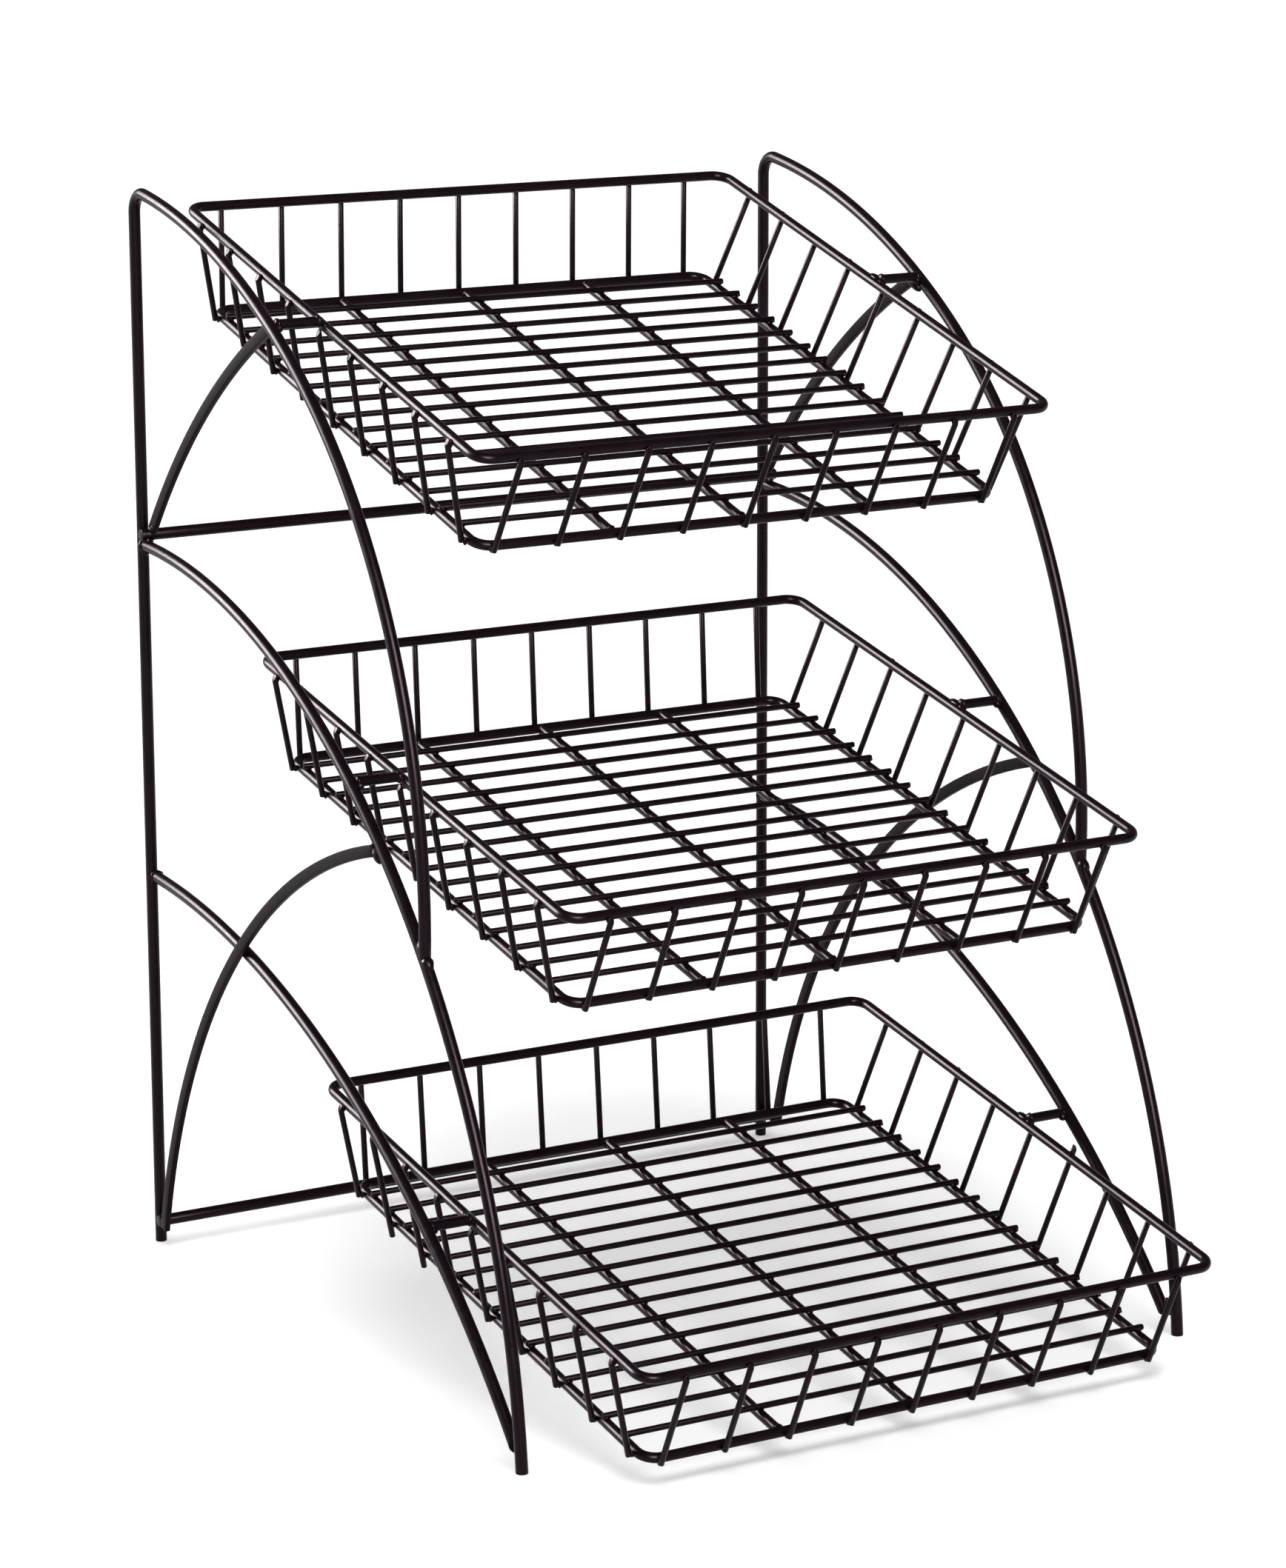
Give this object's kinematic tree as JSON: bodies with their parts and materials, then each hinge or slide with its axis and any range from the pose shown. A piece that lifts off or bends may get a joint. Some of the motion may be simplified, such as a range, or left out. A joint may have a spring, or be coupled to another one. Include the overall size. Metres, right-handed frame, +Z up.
{
  "type": "tiered wire rack",
  "caption": "Free-standing welded wire counter rack with open shallow baskets hung between two bowed side frames, tipped to the front.",
  "frame": {"origin": "on the floor, at the middle of the rack's outline seen from above", "axes": "+Z up, -Y to the front where the baskets face, +X to the right seen from the front"},
  "size_m": [0.379, 0.4646, 0.5526],
  "materials": {
    "coated_rod": "semi-gloss black coat with a faint brown tint",
    "coated_wire": "semi-gloss black coat with a faint brown tint",
    "coated_brace": "matte black coat with a faint brown tint"
  },
  "bodies": {
    "root": {"left_upright_and_bow": "coated_rod", "left_front_leg": "coated_rod", "left_low_bow": "coated_rod", "left_upper_brace": "coated_brace", "left_lower_brace": "coated_brace", "right_upright_and_bow": "coated_rod", "right_front_leg": "coated_rod", "right_low_bow": "coated_rod", "right_upper_brace": "coated_brace", "right_lower_brace": "coated_brace", "upper_cross_rod": "coated_rod", "lower_cross_rod": "coated_rod", "top_left_hanger": "coated_rod", "top_right_hanger": "coated_rod", "top_rim": "coated_rod", "top_base_ring": "coated_rod", "top_floor_runners": "coated_rod", "top_floor_wires": "coated_wire", "top_left_wall_wires": "coated_wire", "top_right_wall_wires": "coated_wire", "top_front_wall_wires": "coated_wire", "top_rear_wall_wires": "coated_wire", "middle_left_hanger": "coated_rod", "middle_right_hanger": "coated_rod", "middle_rim": "coated_rod", "middle_base_ring": "coated_rod", "middle_floor_runners": "coated_rod", "middle_floor_wires": "coated_wire", "middle_left_wall_wires": "coated_wire", "middle_right_wall_wires": "coated_wire", "middle_front_wall_wires": "coated_wire", "middle_rear_wall_wires": "coated_wire", "bottom_left_hanger": "coated_rod", "bottom_right_hanger": "coated_rod", "bottom_rim": "coated_rod", "bottom_base_ring": "coated_rod", "bottom_floor_runners": "coated_rod", "bottom_floor_wires": "coated_wire", "bottom_left_wall_wires": "coated_wire", "bottom_right_wall_wires": "coated_wire", "bottom_front_wall_wires": "coated_wire", "bottom_rear_wall_wires": "coated_wire"}
  },
  "joints": []
}
